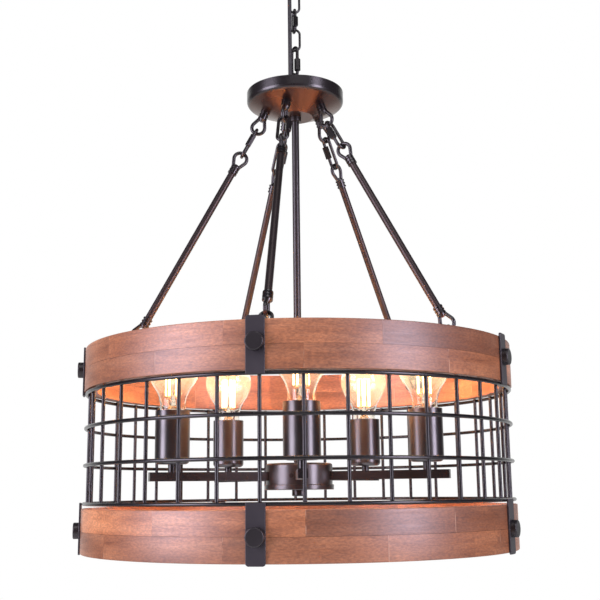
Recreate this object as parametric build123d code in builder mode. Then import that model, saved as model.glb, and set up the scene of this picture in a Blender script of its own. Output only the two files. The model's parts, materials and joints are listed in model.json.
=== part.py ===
from build123d import *
import os
from math import acos, atan2, cos, degrees, radians, sin, sqrt, tan

# Cage chandelier: a ceiling canopy, a short chain with a supply cord beside it, a dished hub,
# five rods that carry a drum of two wooden rings joined by a wire cage, and a central stem with
# a cluster of five lamps. Millimetres, +Z up, the origin on the ceiling face above the stem.
# Angles round the vertical axis are counted from the front (-Y) towards the right (+X).

os.makedirs("parts", exist_ok=True)

# Fits
RUN_GAP = 0.3  # between two links that hang in one another
SLIP = 0.05  # radial clearance round a stud, pin or sleeve
SEAT_GAP = 0.1  # between pieces that rest on each other at a curved face
SHEET = 1.5  # pressed sheet of the canopy, hub and cluster

# Fivefold layout
LAMPS = 5
ROD_ANGLE = -10.6  # the front clamp strap and the foot of its rod
HUB_TWIST = -7.0  # from there to the rod's loop on the hub
LAMP_ANGLE = 0.0  # the front lamp and its arm

# Threaded fasteners
STUD = 6.0
NUT_FLATS = 10.0
NUT_HEIGHT = 5.0
WASHER_RADIUS = 6.5
WASHER = 1.2
BOLT_TIP = 1.5  # bolt past its nut

# Loop fitting: grooved collar and a teardrop eye of bent wire
COLLAR_RADIUS = 5.8
COLLAR_LENGTH = 10.0
COLLAR_RIDGES = 3
GROOVE_DEPTH = 0.9
LOOP_RADIUS = 8.0  # to the middle of the eye's wire
LOOP_WIRE = 4.4
LOOP_REACH = 22.5  # seat to the eye's centre
LEG_FOOT = 2.6  # from the middle to each leg, at its root in the collar
LEG_ROOT = 1.5
SHOULDER_RADIUS = 4.6  # cone between the legs
SHOULDER_TOP_RADIUS = 2.6
SHOULDER = 3.2

# Canopy and its bracket
CANOPY_RADIUS = 60.0
CANOPY_RIM = 15.0
CANOPY_DISH = 13.0
DISH_FLAT = 22.0  # radius of the flat in the middle of the canopy and the hub
DISH_CORNER = 6.0
RING_NUT_RADIUS = 8.0
RING_NUT = 4.0
BRACKET_LENGTH = 96.0
BRACKET_WIDTH = 18.0
BRACKET_SHEET = 2.0
BRACKET_DROP = 11.0
BRACKET_MIDDLE = 44.0  # length of its lowered middle
CEILING_SCREW_SPACING = 70.0
CEILING_SCREW_HOLE = 5.0

# Chain and quick links, each size to the middle of the wire
LINK_PITCH = 28.7
LINK_WIDTH = 13.5
LINK_WIRE = 3.0
SMALL_QUICK_PITCH = 30.8
SMALL_QUICK_WIDTH = 11.0
SMALL_QUICK_WIRE = 3.2
QUICK_PITCH = 40.9
QUICK_WIDTH = 13.0
QUICK_WIRE = 4.0
SMALL_SLEEVE = 12.5  # length of its sleeve nut
QUICK_SLEEVE = 16.0
CHAIN_SLEEVE_FOOT = 1.0  # straight leg below the sleeve nut, in the chain
ROD_SLEEVE_FOOT = 4.0  # and at the rods
SLEEVE_COVER = 2.0  # how far a sleeve nut laps the gap's lower end
SLEEVE_WALL = 1.4
CANOPY_LOOP_TURN = 80.0
UPPER_LINK_TURN = 10.0
SMALL_QUICK_TURN = -75.0
LOWER_LINK_TURN = 0.0
QUICK_TURN = -60.0
HUB_LOOP_TURN = 30.0

# Supply cord, straight beside the chain
CORD_DIAMETER = 5.0
CORD_X = -6.0
CORD_Y = -12.0
GRIP_RADIUS = 4.5
GRIP_HEAD = 3.0
GRIP_SHANK = 3.6
GRIP_TAIL = 5.0
GRIP_EDGE = 1.0
CORD_CUTS = (0.25, 0.46, 0.65, 0.68)  # ends of its stretches, as shares of the way between pivots

# Hub
HUB_RADIUS = 60.8
HUB_RIM = 15.0
HUB_DISH = 16.5
HUB_RECESS = 4.0  # the cover lies this far below the rim
HUB_COVER = 2.0
HUB_LOOP_CIRCLE = 38.0
STUD_THROUGH = 8.0  # stud length past a seat that takes a nut

# Stem
STEM_RADIUS = 4.6
STEM_BORE = 3.2
STEM_LENGTH = 431.3  # from the hub's underside to the top of the cluster
STEM_ABOVE = 9.0
STEM_NUT_FLATS = 15.0
STEM_NUT = 5.0
STEM_COLLAR_RADIUS = 7.4  # shoulder of the stem under the hub
STEM_COLLAR = 6.0

# Rods
ROD_RADIUS = 4.3
ROD_LENGTH = 209.7  # between the collars
ROD_STUD = 12.0
ROD_LINK_TURN = 90.0  # the lower quick links lie across the rods' loops
ROD_LINK_TURNS = (95.0, -74.0, 106.0, -95.0, 90.0)  # the upper ones, from the front rod on

# Wooden rings
RING_RADIUS = 250.0
RING_WALL = 15.0
COURSE = 24.4  # height of one course
COURSES_GAP = 0.2  # glue line
RING_SEGMENTS = 10
SEGMENT_GAP = 0.25
DRUM_HEIGHT = 229.0

# Wire cage
HOOP_WIRE = 4.0
HOOP_SETBACK = 0.7  # the hoops' outer side inside the rings' outer face
UPRIGHT_WIRE = 4.0
UPRIGHTS = 36
TOP_HOOP_DROP = 3.0  # below the upper ring
BOTTOM_HOOP_RISE = 5.2  # above the lower ring
UPPER_MID_DROP = 39.0  # below the top hoop
LOWER_MID_RISE = 42.2  # above the bottom hoop

# Clamp straps, cap nuts and bolts
STRAP_WIDTH = 19.0
STRAP = 2.0
UPPER_STRAP_PROUD = 3.4  # past the upper edge of the upper ring
LOWER_STRAP_PROUD = 1.8  # past the lower edge of the lower ring
STRAP_WRAP = 15.0  # how far the end bends round the hoop, in degrees
STRAP_CORNER = 3.0
STRAP_EDGE = 0.5
UPPER_BOLT_RISE = 2.0  # above the middle of the upper ring
HEAD_RADIUS = 9.1
HEAD_HEIGHT = 6.5
HEAD_EDGE = 1.2
CAP_BORE = 4.5

# Lamp cluster
CLUSTER_RADIUS = 39.3
CLUSTER_HEIGHT = 24.7
CLUSTER_EDGE = 3.0
COVER_LIP = 1.6  # how far the cover stands out past the body
COVER_HEIGHT = 6.0
COVER_SPIGOT = 4.0
FINIAL_RADIUS = 8.6
FINIAL_HEIGHT = 7.4
ARM_SIDE = 10.0
ARM_WALL = 1.2
ARM_DEPTH = 14.7  # its middle, below the top of the cluster
ARM_PAST = 26.0  # arm past the middle of its lamp
ARM_START = 27.0
SET_SCREW_ANGLE = -13.5
SET_SCREW_RADIUS = 2.6

# Lamps
LAMP_CIRCLE = 152.0
NIPPLE_RADIUS = 3.5
STUB_RADIUS = 4.5
STUB_HEIGHT = 8.8
SLEEVE_RADIUS = 19.7
SLEEVE_HEIGHT = 60.2
SLEEVE_SHEET = 1.2
SLEEVE_CORNER = 5.0
HOLDER_RECESS = 2.0  # rim of the lampholder below the rim of the sleeve
HOLDER_GAP = 0.3
CAP_RADIUS = 13.2
CAP_LENGTH = 24.0
CAP_CLEARANCE = 0.4
CAP_FLANGE = 1.5  # rim of the cap under the glass
CAP_RIDGES = 5
CAP_RIDGE = 0.8
CONTACT_RADIUS = 4.5
CONTACT_HEIGHT = 2.5
GLASS_RADIUS = 30.0
GLASS_NECK = 14.5
GLASS_STRAIGHT = 5.0
GLASS_WIDEST = 50.0  # height of the widest place above the cap
GLASS_WALL = 1.0
MOUNT_RADIUS = 4.0
MOUNT_HEIGHT = 18.0
FILAMENTS = 6
FILAMENT_WIRE = 1.2
FILAMENT_LENGTH = 36.0
FILAMENT_CIRCLE = 8.0


def around(first_angle, place, count=LAMPS):
    """Places round the vertical axis, each with its local X pointing outwards."""
    step = 360 / count
    return [Location((0, 0, 0), (0, 0, first_angle + i * step - 90)) * place for i in range(count)]


def placed(shape, places):
    """Copies of one shape at a list of places."""
    with BuildPart() as group:
        with Locations(*places):
            add(shape)
    return group


def save(piece, name):
    piece.part.label = name
    export_step(piece.part, f"parts/{name}.step")


# Heights down the chain, from the ceiling at zero
canopy_under = -(CANOPY_RIM + CANOPY_DISH)
canopy_seat = canopy_under - RING_NUT
canopy_ring = canopy_seat - LOOP_REACH


def hung_from(wire_height, upper_wire, lower_wire):
    """Height of the top wire of a link that hangs on the wire at the given height."""
    return wire_height + (upper_wire + lower_wire) / 2 + RUN_GAP


pivot_1 = canopy_ring - LOOP_RADIUS
upper_link_top = hung_from(pivot_1, LOOP_WIRE, LINK_WIRE)
pivot_2 = upper_link_top - LINK_PITCH
small_quick_top = hung_from(pivot_2, LINK_WIRE, SMALL_QUICK_WIRE)
pivot_3 = small_quick_top - SMALL_QUICK_PITCH
lower_link_top = hung_from(pivot_3, SMALL_QUICK_WIRE, LINK_WIRE)
pivot_4 = lower_link_top - LINK_PITCH
quick_top = hung_from(pivot_4, LINK_WIRE, QUICK_WIRE)
pivot_5 = quick_top - QUICK_PITCH
hub_ring = hung_from(pivot_5, QUICK_WIRE, LOOP_WIRE) - LOOP_RADIUS
hub_cover_top = hub_ring - LOOP_REACH
hub_top = hub_cover_top + HUB_RECESS
hub_under = hub_top - HUB_RIM - HUB_DISH

# The loops on the hub's sloping underside and the line of each rod
hub_slope = atan2(HUB_DISH, HUB_RADIUS - DISH_FLAT)
hub_seat_z = hub_top - HUB_RIM - (HUB_RADIUS - HUB_LOOP_CIRCLE) * tan(hub_slope)
line_top_r = HUB_LOOP_CIRCLE + LOOP_REACH * sin(hub_slope)
line_top_z = hub_seat_z - LOOP_REACH * cos(hub_slope)
ring_inside = RING_RADIUS - RING_WALL
ring_seat = sqrt(ring_inside**2 - WASHER_RADIUS**2) - SLIP  # flat seat on the ring's curved inside
line_end_r = ring_seat - LOOP_REACH
ring_link_step = LOOP_RADIUS - (LOOP_WIRE + QUICK_WIRE) / 2 - RUN_GAP  # ring centre to link end
link_step = QUICK_PITCH + 2 * ring_link_step
line_length = ROD_LENGTH + 2 * LOOP_REACH + 2 * link_step
line_top_x = line_top_r * cos(radians(HUB_TWIST))
line_top_y = line_top_r * sin(radians(HUB_TWIST))
line_end_z = line_top_z - sqrt(line_length**2 - (line_end_r - line_top_x) ** 2 - line_top_y**2)
line_top = Vector(line_top_x, line_top_y, line_top_z)  # in the strap's upright plane and off it
line_way = (Vector(line_end_r, 0, line_end_z) - line_top).normalized()

# Heights in the drum
ring_height = 2 * COURSE + COURSES_GAP
ring_top = line_end_z - UPPER_BOLT_RISE + ring_height / 2
ring_under = ring_top - ring_height
drum_under = ring_top - DRUM_HEIGHT
lower_ring_top = drum_under + ring_height
top_hoop_z = ring_under - TOP_HOOP_DROP
bottom_hoop_z = lower_ring_top + BOTTOM_HOOP_RISE
upper_mid_z = top_hoop_z - UPPER_MID_DROP
lower_mid_z = bottom_hoop_z + LOWER_MID_RISE
lower_bolt_z = lower_ring_top - ring_height / 2
hoop_radius = RING_RADIUS - HOOP_SETBACK - HOOP_WIRE / 2
upright_circle = hoop_radius - (HOOP_WIRE + UPRIGHT_WIRE) / 2 - SEAT_GAP

# Heights in the lamp cluster
cluster_top = hub_under - STEM_LENGTH
cluster_under = cluster_top - CLUSTER_HEIGHT
cover_under = cluster_under - COVER_HEIGHT
arm_z = cluster_top - ARM_DEPTH
stub_foot = arm_z + ARM_SIDE / 2
sleeve_foot = stub_foot + STUB_HEIGHT
sleeve_top = sleeve_foot + SLEEVE_HEIGHT
holder_foot = sleeve_foot + SLEEVE_SHEET
holder_top = sleeve_top - HOLDER_RECESS
cap_top = holder_top + RUN_GAP + CAP_FLANGE


def hex_nut(flats, height, bore):
    """Hexagon nut that stands on the origin."""
    with BuildPart() as nut:
        with BuildSketch():
            RegularPolygon(flats / 2, 6, major_radius=False)
            Circle(bore, mode=Mode.SUBTRACT)
        extrude(amount=height)
    return nut.part


def loop_fitting(stud_length):
    """Loop with its seat on the origin, its eye above and its stud below."""
    ridge = COLLAR_LENGTH / (2 * COLLAR_RIDGES - 1)
    collar = []
    for i in range(COLLAR_RIDGES):
        foot = 2 * i * ridge
        collar += [(COLLAR_RADIUS, foot), (COLLAR_RADIUS, foot + ridge)]
        if i < COLLAR_RIDGES - 1:
            groove = COLLAR_RADIUS - GROOVE_DEPTH
            collar += [(groove, foot + ridge), (groove, foot + 2 * ridge)]
    root = COLLAR_LENGTH - LEG_ROOT
    leg_reach = sqrt(LEG_FOOT**2 + (LOOP_REACH - root) ** 2)
    meeting = acos(LOOP_RADIUS / leg_reach) - atan2(LOOP_REACH - root, LEG_FOOT)
    meeting_x = LOOP_RADIUS * cos(meeting)
    meeting_z = LOOP_REACH + LOOP_RADIUS * sin(meeting)
    with BuildPart() as fitting:
        with BuildSketch(Plane.XZ):
            with BuildLine():
                Polyline(
                    (0, -stud_length),
                    (STUD / 2, -stud_length),
                    (STUD / 2, 0),
                    *collar,
                    (SHOULDER_RADIUS, COLLAR_LENGTH),
                    (SHOULDER_TOP_RADIUS, COLLAR_LENGTH + SHOULDER),
                    (0, COLLAR_LENGTH + SHOULDER),
                    close=True,
                )
            make_face()
        revolve(axis=Axis.Z)
        with BuildLine(Plane.XZ) as path:
            Line((LEG_FOOT, root), (meeting_x, meeting_z))
            CenterArc((0, LOOP_REACH), LOOP_RADIUS, degrees(meeting), 180 - 2 * degrees(meeting))
            Line((-meeting_x, meeting_z), (-LEG_FOOT, root))
        with BuildSketch(Plane(origin=path.line @ 0, z_dir=path.line % 0)):
            Circle(LOOP_WIRE / 2)
        sweep(path=path.wire())
    return fitting.part


def chain_link(pitch, width, wire):
    """Closed oval link in the XZ plane, its middle on the origin."""
    straight = (pitch - width) / 2
    bend = width / 2
    with BuildPart() as link:
        with BuildLine(Plane.XZ) as path:
            Line((bend, -straight), (bend, straight))
            CenterArc((0, straight), bend, 0, 180)
            Line((-bend, straight), (-bend, -straight))
            CenterArc((0, -straight), bend, 180, 180)
        with BuildSketch(Plane(origin=path.line @ 0, z_dir=path.line % 0)):
            Circle(wire / 2)
        sweep(path=path.wire())
    return link.part


def quick_link(pitch, width, wire, sleeve, sleeve_foot):
    """Oval link with a gap in its right leg, in the XZ plane, its middle on the origin."""
    straight = (pitch - width) / 2
    bend = width / 2
    gap_low = sleeve_foot - straight + SLEEVE_COVER
    gap_high = straight - sleeve
    with BuildPart() as link:
        with BuildLine(Plane.XZ) as path:
            Line((bend, gap_high), (bend, straight))
            CenterArc((0, straight), bend, 0, 180)
            Line((-bend, straight), (-bend, -straight))
            CenterArc((0, -straight), bend, 180, 180)
            Line((bend, -straight), (bend, gap_low))
        with BuildSketch(Plane(origin=path.line @ 0, z_dir=path.line % 0)):
            Circle(wire / 2)
        sweep(path=path.wire())
    return link.part


def sleeve_nut(pitch, width, wire, sleeve, sleeve_foot):
    """Hexagon sleeve that closes the gap of a quick link, in the link's place."""
    foot = sleeve_foot - (pitch - width) / 2
    with BuildPart() as nut:
        with BuildSketch(Plane((width / 2, 0, foot))):
            RegularPolygon(wire / 2 + SLEEVE_WALL, 6, major_radius=False)
            Circle(wire / 2 + SLIP, mode=Mode.SUBTRACT)
        extrude(amount=sleeve)
        rim = nut.edges().filter_by(GeomType.LINE).filter_by(Axis.Z, reverse=True)
        chamfer(rim, SLEEVE_WALL / 4)
    return nut.part


def dish(radius, rim, depth):
    """Round pan with a sloping underside and a flat middle, its rim on the origin's plane."""
    with BuildPart() as pan:
        with BuildSketch(Plane.XZ):
            with BuildLine():
                Polyline(
                    (0, 0),
                    (radius, 0),
                    (radius, -rim),
                    (DISH_FLAT, -rim - depth),
                    (0, -rim - depth),
                    close=True,
                )
            make_face()
        revolve(axis=Axis.Z)
        corner = pan.edges().filter_by(GeomType.CIRCLE).group_by(Axis.Z)[1]
        fillet(corner, DISH_CORNER)
        offset(amount=-SHEET, openings=pan.faces().sort_by(Axis.Z)[-1])
    return pan.part


def cord_grip(hole_sheet):
    """Bushing that holds the cord in a plate whose outer face is at the origin, its head below."""
    with BuildPart() as grip:
        with BuildSketch(Plane.XZ):
            with BuildLine():
                Polyline(
                    (CORD_DIAMETER / 2, -GRIP_HEAD),
                    (GRIP_RADIUS - GRIP_EDGE, -GRIP_HEAD),
                    (GRIP_RADIUS, -GRIP_HEAD + GRIP_EDGE),
                    (GRIP_RADIUS, 0),
                    (GRIP_SHANK, 0),
                    (GRIP_SHANK, hole_sheet + GRIP_TAIL),
                    (CORD_DIAMETER / 2, hole_sheet + GRIP_TAIL),
                    close=True,
                )
            make_face()
        revolve(axis=Axis.Z)
    return grip.part


def round_head(bore):
    """Round domed-edge head on the origin, with a blind threaded hole where a bore is given."""
    with BuildPart() as head:
        Cylinder(HEAD_RADIUS, HEAD_HEIGHT, align=(Align.CENTER, Align.CENTER, Align.MIN))
        fillet(head.edges().filter_by(GeomType.CIRCLE).sort_by(Axis.Z)[-1], HEAD_EDGE)
        if bore:
            Cylinder(
                bore,
                CAP_BORE,
                align=(Align.CENTER, Align.CENTER, Align.MIN),
                mode=Mode.SUBTRACT,
            )
    return head.part


# Ceiling bracket: a strip with two feet on the ceiling and a lowered middle
bracket_half = BRACKET_LENGTH / 2
middle_half = BRACKET_MIDDLE / 2
with BuildPart() as ceiling_bracket:
    with BuildSketch(Plane.XZ):
        with BuildLine():
            Polyline(
                (-bracket_half, 0),
                (-middle_half - BRACKET_SHEET, 0),
                (-middle_half - BRACKET_SHEET, -BRACKET_DROP),
                (middle_half + BRACKET_SHEET, -BRACKET_DROP),
                (middle_half + BRACKET_SHEET, 0),
                (bracket_half, 0),
                (bracket_half, -BRACKET_SHEET),
                (middle_half + 2 * BRACKET_SHEET, -BRACKET_SHEET),
                (middle_half + 2 * BRACKET_SHEET, -BRACKET_DROP - BRACKET_SHEET),
                (-middle_half - 2 * BRACKET_SHEET, -BRACKET_DROP - BRACKET_SHEET),
                (-middle_half - 2 * BRACKET_SHEET, -BRACKET_SHEET),
                (-bracket_half, -BRACKET_SHEET),
                close=True,
            )
        make_face()
    extrude(amount=BRACKET_WIDTH / 2, both=True)
    with GridLocations(CEILING_SCREW_SPACING, 0, 2, 1):
        Hole(CEILING_SCREW_HOLE / 2)
    Hole(STUD / 2 + SLIP)
save(ceiling_bracket, "ceiling_bracket")

bracket_floor = -BRACKET_DROP
small_nut = hex_nut(NUT_FLATS, NUT_HEIGHT, STUD / 2 + SLIP)
bracket_nut = placed(small_nut, [Location((0, 0, bracket_floor))])
save(bracket_nut, "bracket_nut")

# Canopy
cord_place = (CORD_X, CORD_Y, 0)
canopy_pan = dish(CANOPY_RADIUS, CANOPY_RIM, CANOPY_DISH)
with BuildPart() as canopy_dish:
    add(canopy_pan)
    Cylinder(STUD / 2 + SLIP, 4 * CANOPY_DISH + 4 * CANOPY_RIM, mode=Mode.SUBTRACT)
    with Locations(cord_place):
        Cylinder(GRIP_SHANK + SLIP, 4 * CANOPY_DISH + 4 * CANOPY_RIM, mode=Mode.SUBTRACT)
save(canopy_dish, "canopy_dish")

with BuildPart() as canopy_ring_nut:
    with BuildSketch(Plane.XY.offset(canopy_seat)):
        Circle(RING_NUT_RADIUS)
        Circle(STUD / 2 + SLIP, mode=Mode.SUBTRACT)
    extrude(amount=RING_NUT)
    outer_edges = canopy_ring_nut.edges().filter_by(GeomType.CIRCLE).sort_by(SortBy.RADIUS)[-2:]
    chamfer(outer_edges, RING_NUT / 5)
save(canopy_ring_nut, "canopy_ring_nut")

canopy_stud = bracket_floor + NUT_HEIGHT - canopy_seat
canopy_loop_place = Location((0, 0, canopy_seat), (180, 0, CANOPY_LOOP_TURN))
canopy_loop = placed(loop_fitting(canopy_stud), [canopy_loop_place])
save(canopy_loop, "canopy_loop")

canopy_cord_grip = placed(cord_grip(SHEET), [Location((CORD_X, CORD_Y, canopy_under))])
save(canopy_cord_grip, "canopy_cord_grip")

# Chain: a link, a small quick link, a link and a quick link
plain_link = chain_link(LINK_PITCH, LINK_WIDTH, LINK_WIRE)
chain_links = (
    ("chain_link_upper", upper_link_top, UPPER_LINK_TURN),
    ("chain_link_lower", lower_link_top, LOWER_LINK_TURN),
)
for name, top, turn in chain_links:
    save(placed(plain_link, [Location((0, 0, top - LINK_PITCH / 2), (0, 0, turn))]), name)

small_quick_size = (SMALL_QUICK_PITCH, SMALL_QUICK_WIDTH, SMALL_QUICK_WIRE, SMALL_SLEEVE, CHAIN_SLEEVE_FOOT)
quick_size = (QUICK_PITCH, QUICK_WIDTH, QUICK_WIRE, QUICK_SLEEVE, CHAIN_SLEEVE_FOOT)
rod_quick_size = (QUICK_PITCH, QUICK_WIDTH, QUICK_WIRE, QUICK_SLEEVE, ROD_SLEEVE_FOOT)
quick_links = (
    ("upper", small_quick_top, SMALL_QUICK_TURN, small_quick_size),
    ("lower", quick_top, QUICK_TURN, quick_size),
)
for name, top, turn, size in quick_links:
    link_place = Location((0, 0, top - size[0] / 2), (0, 0, turn))
    save(placed(quick_link(*size), [link_place]), f"quick_link_{name}")
    save(placed(sleeve_nut(*size), [link_place]), f"sleeve_nut_{name}")

# Supply cord: five straight stretches, one past each pivot of the chain
cord_top = canopy_under - GRIP_HEAD
cord_end = hub_cover_top + GRIP_HEAD
pivots = (pivot_1, pivot_2, pivot_3, pivot_4, pivot_5)
cord_cuts = [cord_top]
for share, above, below in zip(CORD_CUTS, pivots[:-1], pivots[1:]):
    cord_cuts.append(above - (above - below) * share)
cord_cuts.append(cord_end)
cord_names = ("cord_canopy_end", "cord_upper", "cord_middle", "cord_lower", "cord_hub_end")
for name, high, low in zip(cord_names, cord_cuts[:-1], cord_cuts[1:]):
    with BuildPart() as cord:
        with BuildSketch(Plane((CORD_X, CORD_Y, low))):
            Circle(CORD_DIAMETER / 2)
        extrude(amount=high - low)
    save(cord, name)
    print(name, "length", round(high - low, 1), "straight, no arcs")

# Hub
hub_loop_place = Location((HUB_LOOP_CIRCLE, 0, hub_seat_z), (0, 180 - degrees(hub_slope), 0))
hub_angle = ROD_ANGLE + HUB_TWIST
hub_loop_places = around(hub_angle, hub_loop_place)
hub_pan = dish(HUB_RADIUS, HUB_RIM, HUB_DISH)
with BuildPart() as hub_dish:
    with Locations((0, 0, hub_top)):
        add(hub_pan)
    with Locations((0, 0, hub_under)):
        Cylinder(STEM_RADIUS + SLIP, 2 * HUB_DISH, mode=Mode.SUBTRACT)
    with Locations(*hub_loop_places):
        Cylinder(STUD / 2 + SLIP, 2 * STUD_THROUGH, mode=Mode.SUBTRACT)
save(hub_dish, "hub_dish")

with BuildPart() as hub_cover:
    with BuildSketch(Plane.XY.offset(hub_cover_top - HUB_COVER)):
        Circle(HUB_RADIUS - SHEET - SEAT_GAP)
        Circle(STUD / 2 + SLIP, mode=Mode.SUBTRACT)
        with Locations((CORD_X, CORD_Y)):
            Circle(GRIP_SHANK + SLIP, mode=Mode.SUBTRACT)
    extrude(amount=HUB_COVER)
save(hub_cover, "hub_cover")

nutted_loop = loop_fitting(STUD_THROUGH)
hub_top_loop = placed(nutted_loop, [Location((0, 0, hub_cover_top), (0, 0, HUB_LOOP_TURN))])
save(hub_top_loop, "hub_top_loop")

hub_grip_place = Location((CORD_X, CORD_Y, hub_cover_top), (180, 0, 0))
hub_cord_grip = placed(cord_grip(HUB_COVER), [hub_grip_place])
save(hub_cord_grip, "hub_cord_grip")

hub_loops = placed(nutted_loop, hub_loop_places)
save(hub_loops, "hub_loops")

# Stem: a tube from the hub through the cluster into the finial
stem_top = hub_under + STEM_ABOVE
stem_foot = cover_under - FINIAL_HEIGHT / 2
with BuildPart() as stem:
    with BuildSketch(Plane.XY.offset(stem_foot)):
        Circle(STEM_RADIUS)
        Circle(STEM_BORE, mode=Mode.SUBTRACT)
    extrude(amount=stem_top - stem_foot)
    with BuildSketch(Plane.XY.offset(hub_under)):
        Circle(STEM_COLLAR_RADIUS)
        Circle(STEM_BORE, mode=Mode.SUBTRACT)
    extrude(amount=-STEM_COLLAR)
save(stem, "stem")

stem_nut = hex_nut(STEM_NUT_FLATS, STEM_NUT, STEM_RADIUS + SLIP)
stem_nut_heights = (hub_under + SHEET, cluster_top - SHEET - STEM_NUT)
stem_nuts = placed(stem_nut, [Location((0, 0, height)) for height in stem_nut_heights])
save(stem_nuts, "stem_nuts")


# Rods, their loops and the quick links at both ends, along lines that lean outwards
def on_line(distance, turn=0.0, back=False):
    """Place on a rod's line, at a distance from its top, with local Z down or back up the line."""
    way = line_way * -1 if back else line_way
    place = Plane(line_top + line_way * distance, x_dir=Vector(0, 1, 0).cross(way), z_dir=way)
    return place.location * Location((0, 0, 0), (0, 0, turn))


rod_start = link_step + LOOP_REACH
rod_end = rod_start + ROD_LENGTH
with BuildPart() as one_rod:
    with BuildSketch():
        Circle(ROD_RADIUS)
    extrude(amount=ROD_LENGTH)
    with BuildSketch():
        Circle(STUD / 2 + SLIP)
    extrude(amount=ROD_STUD, mode=Mode.SUBTRACT)
    with BuildSketch(Plane.XY.offset(ROD_LENGTH)):
        Circle(STUD / 2 + SLIP)
    extrude(amount=-ROD_STUD, mode=Mode.SUBTRACT)
hanging_rods = placed(one_rod.part, around(ROD_ANGLE, on_line(rod_start)))
save(hanging_rods, "hanging_rods")

rod_loop_places = around(ROD_ANGLE, on_line(rod_start, back=True))
rod_loop_places += around(ROD_ANGLE, on_line(rod_end))
rod_loops = placed(loop_fitting(ROD_STUD - RUN_GAP), rod_loop_places)
save(rod_loops, "rod_loops")

upper_link_middle = link_step / 2
lower_link_middle = line_length - link_step / 2
rod_link_places = around(ROD_ANGLE, on_line(lower_link_middle, ROD_LINK_TURN))
for number, turn in enumerate(ROD_LINK_TURNS):
    rod_link_places.append(around(ROD_ANGLE, on_line(upper_link_middle, turn))[number])
save(placed(quick_link(*rod_quick_size), rod_link_places), "rod_quick_links")
save(placed(sleeve_nut(*rod_quick_size), rod_link_places), "rod_sleeve_nuts")

# Eye bolts through the upper ring, with round cap nuts outside
strap_face = RING_RADIUS + SEAT_GAP + STRAP
eye_stud = strap_face - ring_seat + CAP_BORE - RUN_GAP
eye_place = Location((ring_seat, 0, line_end_z), (0, -90, 0))
save(placed(loop_fitting(eye_stud), around(ROD_ANGLE, eye_place)), "eye_bolts")

outward = (0, 90, 0)
cap_nut_place = Location((strap_face, 0, line_end_z), outward)
save(placed(round_head(STUD / 2 + SLIP), around(ROD_ANGLE, cap_nut_place)), "cap_nuts")

# Bolts through the lower ring, with washers and nuts inside
bolt_shank = strap_face - ring_seat + WASHER + NUT_HEIGHT + BOLT_TIP
bolt_head = round_head(0)
with BuildPart() as one_bolt:
    add(bolt_head)
    with BuildSketch():
        Circle(STUD / 2)
    extrude(amount=-bolt_shank)
bolt_place = Location((strap_face, 0, lower_bolt_z), outward)
save(placed(one_bolt.part, around(ROD_ANGLE, bolt_place)), "strap_bolts")

with BuildPart() as one_washer:
    with BuildSketch():
        Circle(WASHER_RADIUS)
        Circle(STUD / 2 + SLIP, mode=Mode.SUBTRACT)
    extrude(amount=WASHER)
inward = (0, -90, 0)
washer_places = around(ROD_ANGLE, Location((ring_seat, 0, lower_bolt_z), inward))

# Hexagon nuts: on the hub's loops, under the hub's cover and on the lower bolts' washers
nut_corner = NUT_FLATS / 2 / cos(radians(30))
hub_nut_lift = SHEET + nut_corner**2 * sin(hub_slope) / (2 * (HUB_LOOP_CIRCLE - nut_corner)) + SLIP
hub_nut_place = hub_loop_place * Location((0, 0, -hub_nut_lift), (180, 0, 0))
bolt_nut_place = Location((ring_seat - WASHER - SLIP, 0, lower_bolt_z), inward)
cover_nut_place = Location((0, 0, hub_cover_top - HUB_COVER - NUT_HEIGHT))
nut_places = around(hub_angle, hub_nut_place) + around(ROD_ANGLE, bolt_nut_place) + [cover_nut_place]
with BuildPart() as nuts_and_washers:
    with Locations(*nut_places):
        add(small_nut)
    with Locations(*washer_places):
        add(one_washer.part)
save(nuts_and_washers, "nuts_and_washers")


# Wooden rings: two courses each, of segments whose joints are staggered
segment_angle = 360 / RING_SEGMENTS
joint_angle = degrees(SEGMENT_GAP / RING_RADIUS)


def course(foot, first_joint, bolt_height):
    """One course of a ring, with half of each bolt hole on its inner joint."""
    with BuildPart() as one_segment:
        with BuildSketch(Plane.XZ):
            with Locations((ring_inside, foot)):
                Rectangle(RING_WALL, COURSE, align=(Align.MIN, Align.MIN))
        revolve(axis=Axis.Z, revolution_arc=segment_angle - joint_angle)
    with BuildPart() as segments:
        with Locations(*around(first_joint, Location((0, 0, 0)), RING_SEGMENTS)):
            add(one_segment.part)
        with Locations(*around(ROD_ANGLE, Location((RING_RADIUS, 0, bolt_height), (0, 90, 0)))):
            Cylinder(STUD / 2 + SLIP, 4 * RING_WALL, mode=Mode.SUBTRACT)
    return segments


half_segment = segment_angle / 2
courses = (
    ("upper_ring_top_course", ring_top - COURSE, half_segment, line_end_z),
    ("upper_ring_bottom_course", ring_under, 0.0, line_end_z),
    ("lower_ring_top_course", lower_ring_top - COURSE, 0.0, lower_bolt_z),
    ("lower_ring_bottom_course", drum_under, half_segment, lower_bolt_z),
)
for name, foot, first_joint, bolt_height in courses:
    save(course(foot, first_joint, bolt_height), name)

# Wire cage: four hoops outside the uprights
hoops = (
    ("hoop_top", top_hoop_z),
    ("hoop_upper_mid", upper_mid_z),
    ("hoop_lower_mid", lower_mid_z),
    ("hoop_bottom", bottom_hoop_z),
)
for name, height in hoops:
    with BuildPart() as hoop:
        with Locations((0, 0, height)):
            Torus(hoop_radius, HOOP_WIRE / 2)
    save(hoop, name)

upright_foot = bottom_hoop_z - HOOP_WIRE / 2
upright_length = top_hoop_z + HOOP_WIRE / 2 - upright_foot
with BuildPart() as uprights:
    with BuildSketch(Plane.XY.offset(upright_foot)):
        with PolarLocations(upright_circle, UPRIGHTS, start_angle=LAMP_ANGLE - 90):
            Circle(UPRIGHT_WIRE / 2)
    extrude(amount=upright_length)
save(uprights, "uprights")


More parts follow.
